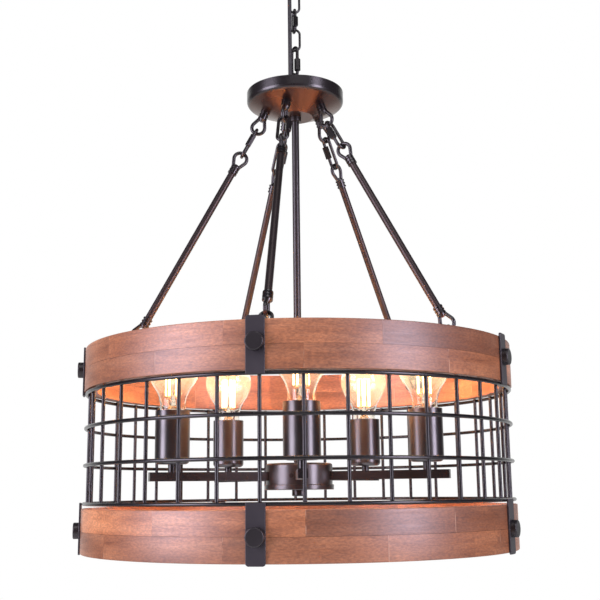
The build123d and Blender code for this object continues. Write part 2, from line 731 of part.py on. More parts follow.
# Clamp straps: a plate on the wood whose end bends round the next hoop
def strap(far_end, hoop_height, bolt_height):
    """Strap in the XZ plane at the ring, from past the ring's far edge to the hoop."""
    inner = RING_RADIUS + SEAT_GAP
    hook_inner = inner - hoop_radius
    sign = 1 if far_end > hoop_height else -1
    sweep_angle = -sign * STRAP_WRAP
    with BuildPart() as plate:
        with BuildSketch(Plane.XZ):
            with BuildLine():
                inside = CenterArc((hoop_radius, hoop_height), hook_inner, 0, sweep_angle)
                outside = CenterArc((hoop_radius, hoop_height), hook_inner + STRAP, 0, sweep_angle)
                Line(inside @ 1, outside @ 1)
                Polyline(inside @ 0, (inner, far_end), (inner + STRAP, far_end), outside @ 0)
            make_face()
        extrude(amount=STRAP_WIDTH / 2, both=True)
        end_edges = plate.edges().filter_by(Axis.X).sort_by(lambda edge: abs(edge.center().Z - far_end))
        fillet(end_edges[:2], STRAP_CORNER)
        fillet(plate.edges().filter_by(Axis.Z).group_by(Axis.X)[-1], STRAP_EDGE)
        with Locations(Location((inner, 0, bolt_height), (0, 90, 0))):
            Cylinder(STUD / 2 + SLIP, 4 * STRAP, mode=Mode.SUBTRACT)
    return plate.part


upper_strap = strap(ring_top + UPPER_STRAP_PROUD, top_hoop_z, line_end_z)
lower_strap = strap(drum_under - LOWER_STRAP_PROUD, bottom_hoop_z, lower_bolt_z)
with BuildPart() as clamp_straps:
    with Locations(*around(ROD_ANGLE, Location((0, 0, 0)))):
        add(upper_strap)
        add(lower_strap)
save(clamp_straps, "clamp_straps")

# Lamp cluster: a can over the arms, closed below by a cover and a finial
arm_end = LAMP_CIRCLE + ARM_PAST
arm_middle = (ARM_START + arm_end) / 2
arm_length = arm_end - ARM_START
arm_places = around(LAMP_ANGLE, Location((arm_middle, 0, arm_z)))
with BuildPart() as cluster_body:
    with BuildSketch(Plane.XY.offset(cluster_under)):
        Circle(CLUSTER_RADIUS)
    extrude(amount=CLUSTER_HEIGHT)
    fillet(cluster_body.edges().filter_by(GeomType.CIRCLE).sort_by(Axis.Z)[-1], CLUSTER_EDGE)
    offset(amount=-SHEET, openings=cluster_body.faces().sort_by(Axis.Z)[0])
    with Locations((0, 0, cluster_top)):
        Cylinder(STEM_RADIUS + SLIP, 4 * SHEET, mode=Mode.SUBTRACT)
    with Locations(*arm_places):
        Box(arm_length, ARM_SIDE + 2 * SLIP, ARM_SIDE + 2 * SLIP, mode=Mode.SUBTRACT)
    screw_place = around(SET_SCREW_ANGLE, Location((CLUSTER_RADIUS, 0, arm_z), (0, 90, 0)), 1)
    with Locations(*screw_place):
        Cylinder(SET_SCREW_RADIUS / 2 + SLIP, 4 * SHEET, mode=Mode.SUBTRACT)
save(cluster_body, "cluster_body")

with BuildPart() as cluster_screw:
    with Locations(*around(SET_SCREW_ANGLE, Location((CLUSTER_RADIUS + SEAT_GAP, 0, arm_z), outward), 1)):
        Cylinder(
            SET_SCREW_RADIUS,
            SET_SCREW_RADIUS / 2,
            align=(Align.CENTER, Align.CENTER, Align.MIN),
        )
        Cylinder(
            SET_SCREW_RADIUS / 2,
            4 * SHEET,
            align=(Align.CENTER, Align.CENTER, Align.MAX),
        )
save(cluster_screw, "cluster_screw")

with BuildPart() as cluster_cover:
    with BuildSketch(Plane.XY.offset(cover_under)):
        Circle(CLUSTER_RADIUS + COVER_LIP)
    extrude(amount=COVER_HEIGHT)
    fillet(cluster_cover.edges().filter_by(GeomType.CIRCLE), COVER_LIP / 2)
    with BuildSketch(Plane.XY.offset(cluster_under)):
        Circle(CLUSTER_RADIUS - SHEET - SEAT_GAP)
        Circle(CLUSTER_RADIUS - 2 * SHEET - SEAT_GAP, mode=Mode.SUBTRACT)
    extrude(amount=COVER_SPIGOT)
    with Locations((0, 0, cover_under)):
        Cylinder(STEM_RADIUS + SLIP, 4 * COVER_HEIGHT, mode=Mode.SUBTRACT)
save(cluster_cover, "cluster_cover")

with BuildPart() as finial:
    with BuildSketch(Plane.XY.offset(cover_under)):
        Circle(FINIAL_RADIUS)
    extrude(amount=-FINIAL_HEIGHT)
    fillet(finial.edges().filter_by(GeomType.CIRCLE).sort_by(Axis.Z)[0], FINIAL_HEIGHT / 4)
    with BuildSketch(Plane.XY.offset(cover_under)):
        Circle(STEM_RADIUS + SLIP)
    extrude(amount=-FINIAL_HEIGHT / 2 - RUN_GAP, mode=Mode.SUBTRACT)
save(finial, "finial")

# Arms: square tubes with closed outer ends and a hole for each lamp's nipple
bore_side = ARM_SIDE - 2 * ARM_WALL
with BuildPart() as one_arm:
    with Locations((arm_middle, 0, arm_z)):
        Box(arm_length, ARM_SIDE, ARM_SIDE)
    with Locations((arm_middle - ARM_WALL, 0, arm_z)):
        Box(arm_length, bore_side, bore_side, mode=Mode.SUBTRACT)
    with Locations((LAMP_CIRCLE, 0, stub_foot)):
        Cylinder(NIPPLE_RADIUS + SLIP, 2 * ARM_WALL, mode=Mode.SUBTRACT)
save(placed(one_arm.part, around(LAMP_ANGLE, Location((0, 0, 0)))), "light_arms")

# Lamps: a stub, a sleeve with a rounded foot and a lampholder on each arm
nipple_foot = stub_foot - 2 * ARM_WALL
nipple_top = holder_foot + 2 * NIPPLE_RADIUS
with BuildPart() as one_stub:
    with BuildSketch(Plane.XY.offset(stub_foot)):
        Circle(STUB_RADIUS)
    extrude(amount=STUB_HEIGHT)
    with BuildSketch(Plane.XY.offset(nipple_foot)):
        Circle(NIPPLE_RADIUS)
    extrude(amount=nipple_top - nipple_foot)
lamp_places = around(LAMP_ANGLE, Location((LAMP_CIRCLE, 0, 0)))
save(placed(one_stub.part, lamp_places), "arm_stubs")

with BuildPart() as one_sleeve:
    with BuildSketch(Plane.XY.offset(sleeve_foot)):
        Circle(SLEEVE_RADIUS)
    extrude(amount=SLEEVE_HEIGHT)
    fillet(one_sleeve.edges().filter_by(GeomType.CIRCLE).sort_by(Axis.Z)[0], SLEEVE_CORNER)
    offset(amount=-SLEEVE_SHEET, openings=one_sleeve.faces().sort_by(Axis.Z)[-1])
    with Locations((0, 0, sleeve_foot)):
        Cylinder(NIPPLE_RADIUS + SLIP, 4 * SLEEVE_SHEET, mode=Mode.SUBTRACT)
save(placed(one_sleeve.part, lamp_places), "lamp_sleeves")

cap_foot = cap_top - CAP_LENGTH
well_foot = cap_foot - CONTACT_HEIGHT - RUN_GAP
with BuildPart() as one_holder:
    with BuildSketch(Plane.XY.offset(holder_foot)):
        Circle(SLEEVE_RADIUS - SLEEVE_SHEET - HOLDER_GAP)
    extrude(amount=holder_top - holder_foot)
    fillet(one_holder.edges().filter_by(GeomType.CIRCLE).sort_by(Axis.Z)[0], SLEEVE_CORNER)
    with BuildSketch(Plane.XY.offset(well_foot)):
        Circle(CAP_RADIUS + CAP_CLEARANCE)
    extrude(amount=holder_top - well_foot, mode=Mode.SUBTRACT)
    with BuildSketch(Plane.XY.offset(holder_foot)):
        Circle(NIPPLE_RADIUS + SLIP)
    extrude(amount=nipple_top - holder_foot + RUN_GAP, mode=Mode.SUBTRACT)
save(placed(one_holder.part, lamp_places), "lampholders")


# Bulbs: a pear-shaped glass on a screw cap, with filaments on a mount inside
def glass_body(wall):
    """Solid of the bulb's outside, drawn in by a wall, above the cap's top."""
    swell = GLASS_RADIUS - GLASS_NECK
    rise = GLASS_WIDEST - GLASS_STRAIGHT
    bend = (swell**2 + rise**2) / (4 * swell)
    low_centre = Vector(GLASS_NECK + bend, GLASS_STRAIGHT)
    high_centre = Vector(GLASS_RADIUS - bend, GLASS_WIDEST)
    between = high_centre - low_centre
    meeting = low_centre + between * ((bend + wall) / between.length)
    with BuildPart() as body:
        with BuildSketch(Plane.XZ):
            with BuildLine():
                neck = Line((GLASS_NECK - wall, 0), (GLASS_NECK - wall, GLASS_STRAIGHT))
                flare = TangentArc(neck @ 1, (meeting.X, meeting.Y), tangent=neck % 1)
                shoulder = TangentArc(flare @ 1, (GLASS_RADIUS - wall, GLASS_WIDEST), tangent=flare % 1)
                dome = CenterArc((0, GLASS_WIDEST), GLASS_RADIUS - wall, 0, 90)
                Polyline(dome @ 1, (0, 0), neck @ 0)
            make_face()
        revolve(axis=Axis.Z)
    return body.part


glass_outside = glass_body(0)
glass_inside = glass_body(GLASS_WALL)
with BuildPart() as bulb_glass:
    add(glass_outside)
    add(glass_inside, mode=Mode.SUBTRACT)
with BuildPart() as bulb_cap:
    ridge_pitch = CAP_LENGTH / (2 * CAP_RIDGES)
    cap_side = []
    for i in range(CAP_RIDGES):
        foot = -CAP_LENGTH + 2 * i * ridge_pitch
        cap_side += [(CAP_RADIUS - CAP_RIDGE, foot), (CAP_RADIUS, foot + ridge_pitch)]
    with BuildSketch(Plane.XZ):
        with BuildLine():
            Polyline(
                (0, -CAP_LENGTH - CONTACT_HEIGHT),
                (CONTACT_RADIUS, -CAP_LENGTH - CONTACT_HEIGHT),
                (CONTACT_RADIUS, -CAP_LENGTH),
                *cap_side,
                (CAP_RADIUS, -CAP_FLANGE),
                (GLASS_NECK, -CAP_FLANGE),
                (GLASS_NECK, 0),
                (MOUNT_RADIUS, 0),
                (MOUNT_RADIUS / 2, MOUNT_HEIGHT),
                (0, MOUNT_HEIGHT),
                close=True,
            )
        make_face()
    revolve(axis=Axis.Z)
    for height in (MOUNT_HEIGHT, MOUNT_HEIGHT + FILAMENT_LENGTH):
        with BuildSketch(Plane.XY.offset(height - FILAMENT_WIRE)):
            Circle(FILAMENT_CIRCLE + FILAMENT_WIRE)
        extrude(amount=FILAMENT_WIRE)
    with BuildSketch(Plane.XY.offset(MOUNT_HEIGHT)):
        with PolarLocations(FILAMENT_CIRCLE, FILAMENTS):
            Circle(FILAMENT_WIRE / 2)
        Circle(FILAMENT_WIRE / 2)
    extrude(amount=FILAMENT_LENGTH - FILAMENT_WIRE / 2)

bulb_places = around(LAMP_ANGLE, Location((LAMP_CIRCLE, 0, cap_top)))
for number, place in enumerate(bulb_places, start=1):
    save(placed(bulb_glass.part, [place]), f"bulb_glass_{number}")
    save(placed(bulb_cap.part, [place]), f"bulb_base_{number}")

print("pivots", [round(z, 2) for z in pivots])
print("hub top", round(hub_top, 2), "ring top", round(ring_top, 2), "drum under", round(drum_under, 2))
print("cluster top", round(cluster_top, 2), "bolts", round(line_end_z, 2), round(lower_bolt_z, 2))
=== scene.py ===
import json
from math import atan2, cos, hypot, pi, radians, sin

import bmesh
import bpy
from mathutils import Matrix, Vector


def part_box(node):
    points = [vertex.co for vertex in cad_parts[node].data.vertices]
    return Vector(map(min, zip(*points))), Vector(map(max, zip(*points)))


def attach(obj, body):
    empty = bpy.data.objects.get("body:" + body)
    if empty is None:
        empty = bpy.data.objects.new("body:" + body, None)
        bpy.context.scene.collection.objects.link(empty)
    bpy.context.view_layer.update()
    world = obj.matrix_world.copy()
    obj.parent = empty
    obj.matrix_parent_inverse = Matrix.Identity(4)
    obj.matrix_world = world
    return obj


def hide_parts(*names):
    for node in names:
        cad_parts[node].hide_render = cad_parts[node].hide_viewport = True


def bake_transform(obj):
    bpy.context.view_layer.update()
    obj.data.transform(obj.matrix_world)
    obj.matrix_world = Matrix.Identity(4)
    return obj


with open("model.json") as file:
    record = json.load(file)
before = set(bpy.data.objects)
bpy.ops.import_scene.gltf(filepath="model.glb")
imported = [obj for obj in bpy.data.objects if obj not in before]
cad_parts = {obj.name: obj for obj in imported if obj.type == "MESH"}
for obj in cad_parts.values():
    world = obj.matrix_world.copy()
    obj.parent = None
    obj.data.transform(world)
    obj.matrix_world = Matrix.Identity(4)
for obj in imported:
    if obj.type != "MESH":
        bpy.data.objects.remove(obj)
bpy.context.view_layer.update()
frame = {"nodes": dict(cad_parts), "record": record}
scene = bpy.context.scene
scene.view_settings.view_transform = "Standard"

# Camera: below the drum's middle, looking up a little, from just left of the front
PHOTO_FOCAL = 984.8  # pixels of a 600 pixel frame
PHOTO_FRAME = 600.0
SENSOR = 36.0
NEAREST_SEEN = 0.01
CAMERA_BACK = 1.1788
CAMERA_Z = -0.69353
CAMERA_TURN = radians(-1.25)
PITCH = radians(10.96)
ROLL = radians(-0.65)
YAW = radians(0.165)


def place_camera():
    forward = Vector((sin(YAW) * cos(PITCH), cos(YAW) * cos(PITCH), sin(PITCH)))
    level = Vector((cos(YAW), -sin(YAW), 0))
    upright = level.cross(forward)
    right = cos(ROLL) * level + sin(ROLL) * upright
    up = cos(ROLL) * upright - sin(ROLL) * level
    view = Matrix((right, up, -forward)).transposed().to_4x4()
    view.translation = Vector((0, -CAMERA_BACK, CAMERA_Z))
    data = bpy.data.cameras.new("camera")
    data.sensor_width = SENSOR
    data.lens = PHOTO_FOCAL / PHOTO_FRAME * SENSOR
    data.clip_start = NEAREST_SEEN
    camera = bpy.data.objects.new("camera", data)
    scene.collection.objects.link(camera)
    camera.matrix_world = Matrix.Rotation(CAMERA_TURN, 4, "Z") @ view
    scene.camera = camera


place_camera()


# Shared modelling and material tools
WHITE = (1, 1, 1, 1)
SAME_PLACE = 1e-6  # points nearer than this are one
NOISE_LOW, NOISE_HIGH = 0.3, 0.7  # most of a noise lies between these


def new_piece(name, bm, material, body):
    """Turns a bmesh into a smooth piece that rides on a body."""
    mesh = bpy.data.meshes.new(name)
    bm.to_mesh(mesh)
    bm.free()
    mesh.polygons.foreach_set("use_smooth", [True] * len(mesh.polygons))
    mesh.materials.append(material)
    piece = bpy.data.objects.new(name, mesh)
    scene.collection.objects.link(piece)
    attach(piece, body)
    return piece


def finish(name):
    """A new material, its nodes and its shader."""
    material = bpy.data.materials.new(name)
    material.use_nodes = True
    return material, material.node_tree, material.node_tree.nodes["Principled BSDF"]


def add_node(tree, kind, inputs=None, **settings):
    """A node with its settings, and its inputs linked or set by name or number."""
    node = tree.nodes.new(kind)
    for key, value in settings.items():
        setattr(node, key, value)
    for key, value in (inputs or {}).items():
        if isinstance(value, bpy.types.NodeSocket):
            tree.links.new(value, node.inputs[key])
        else:
            node.inputs[key].default_value = value
    return node


def math(tree, operation, *values):
    """The result of one calculation."""
    return add_node(tree, "ShaderNodeMath", dict(enumerate(values)), operation=operation).outputs[0]


def ramp(tree, factor, *stops):
    """A colour or grey that follows a factor through its stops."""
    node = add_node(tree, "ShaderNodeValToRGB", {0: factor})
    elements = node.color_ramp.elements
    while len(elements) < len(stops):
        elements.new(0.5)
    for element, (position, colour) in zip(elements, stops):
        element.position = position
        element.color = (*colour, 1)
    return node.outputs[0]


def grey(value):
    return (value, value, value)


def blended(tree, factor, first, second, how="MIX"):
    """Two colours mixed by a factor."""
    node = tree.nodes.new("ShaderNodeMix")
    node.data_type = "RGBA"
    node.blend_type = how
    for socket, value in ((node.inputs[0], factor), (node.inputs[6], first), (node.inputs[7], second)):
        if isinstance(value, bpy.types.NodeSocket):
            tree.links.new(value, socket)
        else:
            socket.default_value = value if isinstance(value, float) else (*value, 1)
    return node.outputs[2]


def noise(tree, vector, scale, detail=2.0, roughness=0.5):
    """A noise between 0 and 1."""
    return add_node(
        tree,
        "ShaderNodeTexNoise",
        {"Vector": vector, "Scale": scale, "Detail": detail, "Roughness": roughness},
    ).outputs[0]


def raise_by(tree, shader, height, strength, distance):
    """A bump on a shader."""
    bump = add_node(tree, "ShaderNodeBump", {"Height": height, "Strength": strength, "Distance": distance})
    tree.links.new(bump.outputs[0], shader.inputs["Normal"])


def object_place(tree):
    return tree.nodes.new("ShaderNodeTexCoord").outputs["Object"]


def height_of(tree, place):
    return add_node(tree, "ShaderNodeSeparateXYZ", {0: place}).outputs[2]


def mottled(tree, socket, place, scale, low, high, detail=2.0):
    """Lets a shader's socket wander between two colours with a noise."""
    wander = noise(tree, place, scale, detail)
    tree.links.new(ramp(tree, wander, (NOISE_LOW, low), (NOISE_HIGH, high)), socket)


# Paints: each has a dark and a light tone, a roughness and a gloss
HUB_SLOPE_TOP = 0.0145  # above the hub's underside
HUB_SHINE_EDGE = 500.0  # the hub's warm shine ends within a 500th of a metre
PAINT_CLOUDS = 22.0
PAINT_SHEEN = 30.0
STRAP_GRAIN = 2600.0
STRAP_GRAIN_HEIGHT = 0.0001


def satin_paint(
    name, dark, light, roughness, gloss=1.0, grain=0.0, index=1.5, warm_shine=None, warm_below=None
):
    """Near-black satin paint, slightly cloudy; its shine can be warm, all over or below a height."""
    material, tree, shader = finish(name)
    place = object_place(tree)
    cloud = noise(tree, place, PAINT_CLOUDS, 3.0, 0.6)
    tree.links.new(ramp(tree, cloud, (0.35, dark), (0.65, light)), shader.inputs["Base Color"])
    smooth, rough = grey(roughness - 0.01), grey(roughness + 0.02)
    mottled(tree, shader.inputs["Roughness"], place, PAINT_SHEEN, smooth, rough)
    shader.inputs["IOR"].default_value = index
    shader.inputs["Specular IOR Level"].default_value = gloss
    if grain:
        raise_by(tree, shader, noise(tree, place, STRAP_GRAIN, 1.0), grain, STRAP_GRAIN_HEIGHT)
    if warm_below is not None:
        height = math(tree, "SUBTRACT", height_of(tree, place), warm_below)
        height = math(tree, "MULTIPLY", height, HUB_SHINE_EDGE)
        shine = ramp(tree, height, (0.0, warm_shine), (1.0, grey(1.0)))
        tree.links.new(shine, shader.inputs["Specular Tint"])
    elif warm_shine:
        shader.inputs["Specular Tint"].default_value = (*warm_shine, 1)
    return material


BRONZE_TONES = (0.0065, 0.005, 0.006), (0.012, 0.0092, 0.011)
bronze = satin_paint("satin_bronze", *BRONZE_TONES, 0.27)
hub_bronze = satin_paint(
    "hub_bronze",
    *BRONZE_TONES,
    0.27,
    warm_shine=(1.0, 0.5, 0.34),
    warm_below=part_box("hub_dish")[0].z + HUB_SLOPE_TOP,
)
rod_bronze = satin_paint("rod_bronze", *BRONZE_TONES, 0.4, 0.85, warm_shine=(1.0, 0.84, 0.8))
stem_bronze = satin_paint("stem_bronze", *BRONZE_TONES, 0.38, 0.85)
sleeve_bronze = satin_paint("sleeve_bronze", *BRONZE_TONES, 0.29, index=1.7)
cage_black = satin_paint("cage_black", (0.006, 0.005, 0.006), (0.01, 0.0085, 0.01), 0.26, 0.75)
strap_charcoal = satin_paint(
    "strap_charcoal", (0.02, 0.016, 0.022), (0.03, 0.025, 0.032), 0.42, 0.9, grain=0.03
)
head_black = satin_paint("head_black", (0.01, 0.0075, 0.009), (0.015, 0.0115, 0.0135), 0.38, 0.85)
cord_black = satin_paint("cord_black", (0.012, 0.011, 0.013), (0.02, 0.018, 0.02), 0.45, 0.9)


# Plain metals and the insulator
def mottled_finish(name, tones, tone_scale, roughnesses, roughness_scale, metallic, detail=2.0):
    """A finish whose tone and roughness wander a little."""
    material, tree, shader = finish(name)
    place = object_place(tree)
    mottled(tree, shader.inputs["Base Color"], place, tone_scale, *tones, detail)
    smooth, rough = roughnesses
    mottled(tree, shader.inputs["Roughness"], place, roughness_scale, grey(smooth), grey(rough))
    shader.inputs["Metallic"].default_value = metallic
    return material


zinc_steel = mottled_finish(
    "zinc", ((0.5, 0.5, 0.51), (0.68, 0.68, 0.69)), 300.0, (0.28, 0.42), 120.0, 1.0, detail=3.0
)
insulator = mottled_finish("matt_insulator", (grey(0.012), grey(0.022)), 200.0, (0.5, 0.65), 500.0, 0.0)
lamp_cap = mottled_finish(
    "cap_metal", ((0.58, 0.47, 0.3), (0.74, 0.62, 0.42)), 250.0, (0.22, 0.36), 90.0, 1.0
)

# Lit bulbs
CAP_TOP = -0.6027  # height of the bulbs' caps
GLASS_TINT = (1.0, 0.965, 0.9)
GLASS_INDEX = 1.45
GLOW_COLOUR = (1.0, 0.78, 0.45)
GLOW_RISE = 12.0  # the glow's ramp runs over a twelfth of a metre
GLOW_STOPS = ((0.2, grey(0.0)), (0.55, grey(0.21)), (0.9, grey(0.13)))
STRAND_COLOUR = (1.0, 0.78, 0.42)
STRAND_GLOW = 4.2
STRAND_DIMMEST = 0.8  # of the full glow


def clear_glass():
    """Clear glass with a faint glow round the strands."""
    material, tree, shader = finish("clear_glass")
    shader.inputs["Base Color"].default_value = (*GLASS_TINT, 1)
    shader.inputs["Transmission Weight"].default_value = 1.0
    shader.inputs["IOR"].default_value = GLASS_INDEX
    place = object_place(tree)
    mottled(tree, shader.inputs["Roughness"], place, 30.0, grey(0.0), grey(0.03))
    above_cap = math(tree, "SUBTRACT", height_of(tree, place), CAP_TOP)
    shader.inputs["Emission Color"].default_value = (*GLOW_COLOUR, 1)
    glow = ramp(tree, math(tree, "MULTIPLY", above_cap, GLOW_RISE), *GLOW_STOPS)
    tree.links.new(glow, shader.inputs["Emission Strength"])
    return material


def glowing_strands():
    """The lit coating of the filament strands."""
    material, tree, shader = finish("filament_glow")
    shader.inputs["Base Color"].default_value = (*STRAND_COLOUR, 1)
    shader.inputs["Emission Color"].default_value = (*STRAND_COLOUR, 1)
    dim, bright = grey(STRAND_GLOW * STRAND_DIMMEST), grey(STRAND_GLOW)
    mottled(tree, shader.inputs["Emission Strength"], object_place(tree), 400.0, dim, bright)
    return material


glass = clear_glass()
filament_glow = glowing_strands()

# Wood
RING_MIDDLE = 0.2425
PLANK_SHIFT_ALONG = 7.0
PLANK_SHIFT_UP = 3.0
WOOD_TONES = ((0.3, (0.25, 0.078, 0.027)), (0.5, (0.37, 0.131, 0.052)), (0.72, (0.48, 0.195, 0.088)))
FILLER_COLOUR = (0.62, 0.36, 0.24)
FIGURE_LINES = 5.0
FLECK_DEPTH = 0.5  # beside the lines
WOOD_INDEX = 1.58
WOOD_GLOSS = 1.0
GRAIN_BUMP = 0.1
GRAIN_HEIGHT = 0.0005


def stained_wood():
    """Reddish-brown wood: its grain runs round the ring, and each segment has a grain of its own and a shade
    that is partly its own tone and partly painted light.
    """
    material, tree, shader = finish("stained_wood")
    x, y, z = add_node(tree, "ShaderNodeSeparateXYZ", {0: object_place(tree)}).outputs
    plank = add_node(tree, "ShaderNodeAttribute", attribute_name="plank").outputs["Fac"]
    filler = add_node(tree, "ShaderNodeAttribute", attribute_name="filler").outputs["Fac"]
    along = math(tree, "MULTIPLY", math(tree, "ARCTAN2", y, x), RING_MIDDLE)
    along = math(tree, "ADD", along, math(tree, "MULTIPLY", plank, PLANK_SHIFT_ALONG))
    across = math(tree, "ADD", math(tree, "MULTIPLY", x, x), math(tree, "MULTIPLY", y, y))
    across = math(tree, "SQRT", across)
    upward = math(tree, "ADD", z, math(tree, "MULTIPLY", plank, PLANK_SHIFT_UP))

    def grain(along_scale, across_scale, detail, roughness=0.55):
        """A noise drawn out along the ring."""
        directions = ((along, along_scale), (across, across_scale), (upward, across_scale))
        stretched = [math(tree, "MULTIPLY", direction, scale) for direction, scale in directions]
        vector = add_node(tree, "ShaderNodeCombineXYZ", dict(enumerate(stretched))).outputs[0]
        return noise(tree, vector, 1.0, detail, roughness)

    # Each pattern: its scale along and across the grain, its detail and its roughness
    broad = grain(7.0, 60.0, 3.0)
    lines = grain(30.0, 420.0, 4.0, 0.65)
    flecks = grain(260.0, 620.0, 2.0, 0.6)
    blotches = grain(16.0, 26.0, 3.0, 0.6)
    figure = math(tree, "FRACT", math(tree, "MULTIPLY", grain(5.0, 34.0, 3.0), FIGURE_LINES))
    figure = math(tree, "ABSOLUTE", math(tree, "SUBTRACT", figure, 0.5))
    # Each layer: its share, its pattern, and the tones at two stops
    layers = (
        # the segment's shade: partly its own tone, partly painted highlight and shade
        (1.0, plank, (0.0, (0.6, 0.58, 0.6)), (1.0, (1.5, 1.55, 1.5))),
        (0.34, lines, (0.3, grey(0.66)), (0.62, grey(1.12))),
        (0.8, blotches, (0.3, (0.72, 0.68, 0.68)), (0.7, (1.18, 1.18, 1.16))),
        (0.6, flecks, (0.36, (0.62, 0.6, 0.58)), (0.66, (1.36, 1.38, 1.32))),
        (0.4, figure, (0.0, (0.5, 0.42, 0.4)), (0.09, grey(1.0))),
    )
    base = ramp(tree, broad, *WOOD_TONES)
    for share, pattern, low, high in layers:
        base = blended(tree, share, base, ramp(tree, pattern, low, high), "MULTIPLY")
    patches = ramp(tree, noise(tree, object_place(tree), 60.0), (0.45, grey(0.0)), (0.6, grey(0.75)))
    base = blended(tree, math(tree, "MULTIPLY", filler, patches), base, FILLER_COLOUR)
    tree.links.new(base, shader.inputs["Base Color"])
    tree.links.new(ramp(tree, lines, (0.3, grey(0.48)), (0.7, grey(0.38))), shader.inputs["Roughness"])
    shader.inputs["IOR"].default_value = WOOD_INDEX
    shader.inputs["Specular IOR Level"].default_value = WOOD_GLOSS
    pores = math(tree, "ADD", lines, math(tree, "MULTIPLY", flecks, FLECK_DEPTH))
    raise_by(tree, shader, pores, GRAIN_BUMP, GRAIN_HEIGHT)
    return material


wood = stained_wood()

# The solids that stay take the finish of their slot, or one of their own
FINISHES = {
    "dark_metal": bronze,
    "zinc_steel": zinc_steel,
    "lampholder": insulator,
    "lamp_cap": lamp_cap,
    "bulb_glass": glass,
    "cord": cord_black,
    "wood": wood,
}
OWN_FINISHES = {
    "hoop_top": cage_black,
    "hoop_upper_mid": cage_black,
    "hoop_lower_mid": cage_black,
    "hoop_bottom": cage_black,
    "uprights": cage_black,
    "clamp_straps": strap_charcoal,
    "cap_nuts": head_black,
    "strap_bolts": head_black,
    "hub_dish": hub_bronze,
    "hanging_rods": rod_bronze,
    "stem": stem_bronze,
    "lamp_sleeves": sleeve_bronze,
    "cluster_body": sleeve_bronze,
    "cluster_cover": sleeve_bronze,
}
for subpart in frame["record"]["subparts"]:
    solid = frame["nodes"][subpart["node"]]
    for material_slot in solid.material_slots:
        material_slot.material = OWN_FINISHES.get(subpart["node"], FINISHES[subpart["material_slot"]])

# Supply cord: one stretch past each pivot of the chain
CORD_X = -0.006
CORD_Y = -0.012
CORD_DIAMETER = 0.005
CORD_STEPS = 8
CORD_ROUNDING = 4
CORD_HEIGHTS = (-0.031, -0.068675, -0.099804, -0.131045, -0.165128, -0.2)
CORD_NODES = ("cord_canopy_end", "cord_upper", "cord_middle", "cord_lower", "cord_hub_end")
CHAIN = (
    "ceiling_canopy",
    "chain_link_upper",
    "quick_link_upper",
    "chain_link_lower",
    "quick_link_lower",
    "chandelier",
)
PIVOTS = (-0.0625, -0.0872, -0.1146, -0.1399, -0.177)


def cord_line(name, points, thickness):
    """A mesh made from a smooth line through the route's points."""
    data = bpy.data.curves.new(name, "CURVE")
    data.dimensions = "3D"
    data.resolution_u = CORD_STEPS
    data.bevel_depth = thickness / 2
    data.bevel_resolution = CORD_ROUNDING
    data.use_fill_caps = True
    spline = data.splines.new("NURBS")
    spline.points.add(len(points) - 1)
    for point, place in zip(spline.points, points):
        point.co = (*place, 1)
    spline.order_u = 3
    spline.use_endpoint_u = True
    carrier = bpy.data.objects.new(name, data)
    mesh = bpy.data.meshes.new_from_object(carrier)
    bpy.data.objects.remove(carrier)
    bpy.data.curves.remove(data)
    return mesh


for node, high, low, pivot, upper, lower in zip(
    CORD_NODES, CORD_HEIGHTS[:-1], CORD_HEIGHTS[1:], PIVOTS, CHAIN[:-1], CHAIN[1:]
):
    name = f"{node}_sheath"
    third = (high - low) / 3
    route = [(CORD_X, CORD_Y, height) for height in (high, high - third, low + third, low)]
    centre_line = cord_line(f"{name}_line", route, 0.0)
    bpy.data.meshes.remove(centre_line)
    mesh = cord_line(name, route, CORD_DIAMETER)
    mesh.materials.append(cord_black)
    stretch = bpy.data.objects.new(name, mesh)
    scene.collection.objects.link(stretch)
    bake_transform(stretch)
    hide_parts(node)

# Wooden rings: segments with eased edges and a thin line of filler at each joint
RING_OUTSIDE = 0.25
RING_WALL = 0.015
SEGMENTS = 10
SEGMENT_GAP = 0.0001
FILLER_LINE = 0.0006
SEGMENT_STEPS = 18
EASED = 0.0008
EASED_STEPS = 3
SHARP_FROM = radians(30)
FRONT = -90  # degrees

# Each course: its first joint in degrees from the front, its eased edges, and its segments' shades from there.
# The shades are partly the planks' own tones and partly painted light: the pale segments at the front left of
# the top courses are a painted highlight, and the darkest at their front right are painted shade.
RING_COURSES = {
    "upper_ring_top_course": (18, "upper", (0.0, 0.0, 0.4, 0.5, 0.36, 0.46, 0.42, 0.38, 0.6, 0.5)),
    "upper_ring_bottom_course": (0, "lower", (0.36, 0.44, 0.38, 0.44, 0.5, 0.35, 0.42, 0.48, 0.3, 0.46)),
    "lower_ring_top_course": (0, "upper", (0.1, 0.06, 0.42, 0.5, 0.38, 0.45, 0.36, 0.48, 1.0, 0.68)),
    "lower_ring_bottom_course": (18, "lower", (0.42, 0.3, 0.46, 0.38, 0.5, 0.42, 0.36, 0.34, 0.5, 0.37)),
}


def plain_segment(low, high, filler_angle):
    """One segment from its joint on: a thin strip of filler, then the wood."""
    sweep = 2 * pi / SEGMENTS - SEGMENT_GAP / RING_OUTSIDE
    bm = bmesh.new()
    corners = ((-RING_WALL, low), (0, low), (0, high), (-RING_WALL, high))
    section = bm.faces.new([bm.verts.new((RING_OUTSIDE + depth, 0, height)) for depth, height in corners])
    turned_part = [section, *section.edges, *section.verts]
    for angle, steps in ((filler_angle, 1), (sweep - filler_angle, SEGMENT_STEPS)):
        turned_part = bmesh.ops.spin(
            bm,
            geom=turned_part,
            axis=(0, 0, 1),
            cent=(0, 0, 0),
            angle=angle,
            steps=steps,
            use_merge=False,
            use_duplicate=False,
        )["geom_last"]
    bmesh.ops.remove_doubles(bm, verts=bm.verts, dist=SAME_PLACE)
    bmesh.ops.recalc_face_normals(bm, faces=bm.faces)
    return bm


